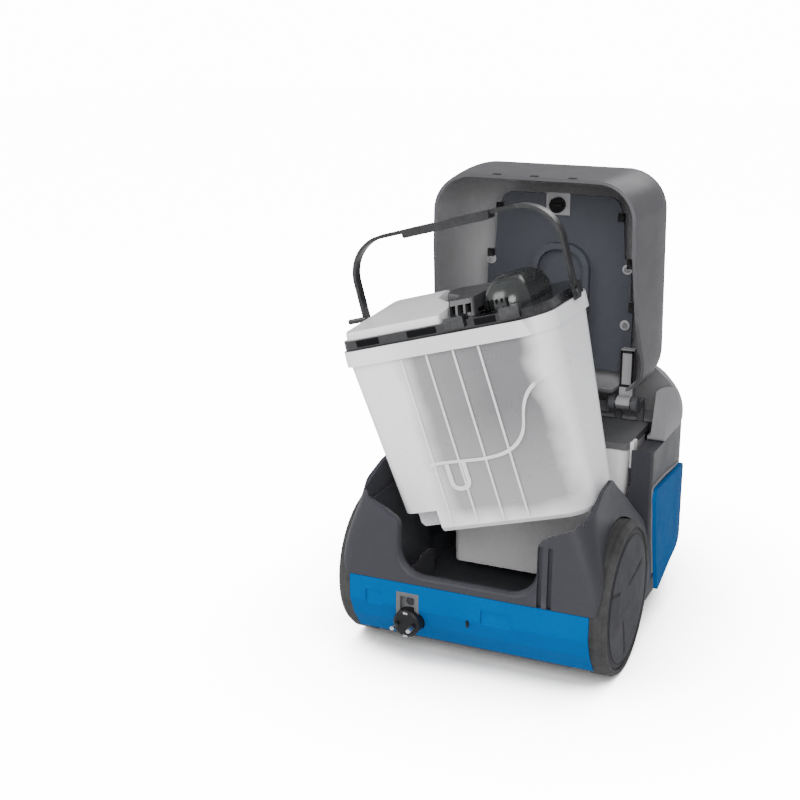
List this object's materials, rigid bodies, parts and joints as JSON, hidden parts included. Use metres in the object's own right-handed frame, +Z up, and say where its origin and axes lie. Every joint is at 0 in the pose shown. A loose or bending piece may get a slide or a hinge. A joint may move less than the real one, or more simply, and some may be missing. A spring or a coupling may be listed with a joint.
{
  "type": "wash and vacuum cleaner",
  "caption": "Canister wash-and-vacuum floor cleaner on two big wheels and a caster, hinged lid open and its lift-out waste-water tank raised by the handle.",
  "frame": {"origin": "on the floor under the rear wheel axle, on the machine's centre plane", "axes": "+X to the right as seen from behind, +Y forward towards the hose socket, +Z up"},
  "size_m": [0.3397, 0.5119, 0.5221],
  "materials": {
    "casing_plastic": "fine moulded texture",
    "pan_plastic": "fine moulded texture",
    "bumper_plastic": "smooth moulded",
    "hood_plastic": "fine moulded texture",
    "socket_plastic": "fine moulded texture",
    "outlet_plastic": "fine moulded texture",
    "plug_rubber": "matt",
    "lid_plastic": "fine moulded texture",
    "liner_plastic": "fine moulded texture",
    "black_plastic": "fine moulded texture",
    "steel": "plain",
    "tank_plastic": "fine moulded texture",
    "frame_plastic": "smooth moulded",
    "cover_plastic": "smooth moulded",
    "block_plastic": "fine moulded texture",
    "smoked_plastic": "smoked clear",
    "float_plastic": "fine moulded texture",
    "handle_plastic": "fine moulded texture",
    "fresh_plastic": "fine moulded texture",
    "rubber": "matt",
    "alloy": "plain",
    "filter_fabric": "pleated paper",
    "tyre_rubber": "matt with tread",
    "cap_plastic": "fine moulded texture"
  },
  "bodies": {
    "machine": {"base_pan": "pan_plastic", "housing": "casing_plastic", "bumper_rear": "bumper_plastic", "bumper_front": "bumper_plastic", "side_panel_left": "bumper_plastic", "side_panel_right": "bumper_plastic", "front_hood": "hood_plastic", "hose_socket": "socket_plastic", "cord_outlet": "outlet_plastic", "power_plug": "plug_rubber", "hinge_pins": "steel", "hinge_brackets": "pan_plastic", "dock_bracket": "outlet_plastic", "motor": "steel", "motor_mount": "rubber", "fan_housing": "pan_plastic", "pump": "black_plastic", "exhaust_filter": "filter_fabric", "reel_axle": "steel", "button_board": "pan_plastic", "left_wheel_axle": "steel", "right_wheel_axle": "steel", "power_button_spring": "steel", "rewind_button_spring": "steel", "pump_hose": "rubber", "chassis_screws": "steel"},
    "lid": {"lid_shell": "lid_plastic", "lid_liner": "liner_plastic", "liner_screws": "steel", "hinge_arms": "lid_plastic"},
    "knob": {"lid_knob": "black_plastic"},
    "tank": {"waste_tank": "tank_plastic", "tank_frame": "frame_plastic", "tank_cover": "cover_plastic", "separator_block": "block_plastic", "separator_dome": "smoked_plastic", "inlet_pipe": "black_plastic", "float_cage": "black_plastic", "bail_pins": "black_plastic", "tank_gasket": "rubber"},
    "float": {"float_ball": "float_plastic"},
    "bail": {"bail_handle": "handle_plastic", "handle_clip": "handle_plastic"},
    "fresh": {"fresh_tank": "fresh_plastic", "fresh_tank_cover": "block_plastic", "fresh_latch": "cover_plastic"},
    "fan": {"impeller": "alloy"},
    "reel": {"cord_reel": "pan_plastic", "wound_cord": "plug_rubber"},
    "power_key": {"power_button": "bumper_plastic"},
    "rewind_key": {"rewind_button": "bumper_plastic"},
    "left_wheel": {"left_wheel_tyre": "tyre_rubber", "left_wheel_hub": "pan_plastic", "left_wheel_cap": "cap_plastic"},
    "right_wheel": {"right_wheel_tyre": "tyre_rubber", "right_wheel_hub": "pan_plastic", "right_wheel_cap": "cap_plastic"},
    "caster": {"caster_fork": "black_plastic", "caster_axle": "steel"},
    "caster_roller": {"caster_wheel": "tyre_rubber"}
  },
  "joints": [
    {"name": "lid_hinge", "type": "hinge", "parent": "machine", "child": "lid", "pos_m": [0, 0.175, 0.25], "axis": [1, 0, 0], "range_deg": [-8, 4]},
    {"name": "lid_knob_turn", "type": "hinge", "parent": "lid", "child": "knob", "pos_m": [-0.002, 0.185, 0.475], "axis": [0, 1, 0], "range_deg": [0, 90]},
    {"name": "tank_lift", "type": "hinge", "parent": "machine", "child": "tank", "pos_m": [-0.4866, 0, 0.167], "axis": [0, 1, 0], "range_deg": [-12, 15.7]},
    {"name": "float_rise", "type": "slide", "parent": "tank", "child": "float", "axis": [-0.2706, 0, 0.9627], "range_m": [0, 0.028]},
    {"name": "bail_swing", "type": "hinge", "parent": "tank", "child": "bail", "pos_m": [-0.04088, 0.015, 0.37954], "axis": [0.9627, 0, 0.2706], "range_deg": [-30, 82]},
    {"name": "fresh_tank_pull", "type": "slide", "parent": "machine", "child": "fresh", "axis": [0, 1, 0], "range_m": [-0.03, 0]},
    {"name": "fan_spin", "type": "hinge", "parent": "machine", "child": "fan", "pos_m": [0.062, 0.28, 0.14], "axis": [0, 0, 1], "continuous": true},
    {"name": "reel_spin", "type": "hinge", "parent": "machine", "child": "reel", "pos_m": [-0.068, 0.282, 0.09], "axis": [0, 0, 1], "continuous": true},
    {"name": "power_press", "type": "slide", "parent": "machine", "child": "power_key", "axis": [0, 0, -1], "range_m": [0, 0.003], "stiffness_N_per_m": 400, "deforming": ["power_button_spring"]},
    {"name": "rewind_press", "type": "slide", "parent": "machine", "child": "rewind_key", "axis": [0, 0, -1], "range_m": [0, 0.003], "stiffness_N_per_m": 400, "deforming": ["rewind_button_spring"]},
    {"name": "left_wheel_spin", "type": "hinge", "parent": "machine", "child": "left_wheel", "pos_m": [0, 0, 0.085], "axis": [1, 0, 0], "continuous": true},
    {"name": "right_wheel_spin", "type": "hinge", "parent": "machine", "child": "right_wheel", "pos_m": [0, 0, 0.085], "axis": [1, 0, 0], "continuous": true},
    {"name": "caster_swivel", "type": "hinge", "parent": "machine", "child": "caster", "pos_m": [0, 0.322, 0.06], "axis": [0, 0, 1], "continuous": true},
    {"name": "caster_roll", "type": "hinge", "parent": "caster", "child": "caster_roller", "pos_m": [0, 0.304, 0.022], "axis": [1, 0, 0], "continuous": true}
  ]
}
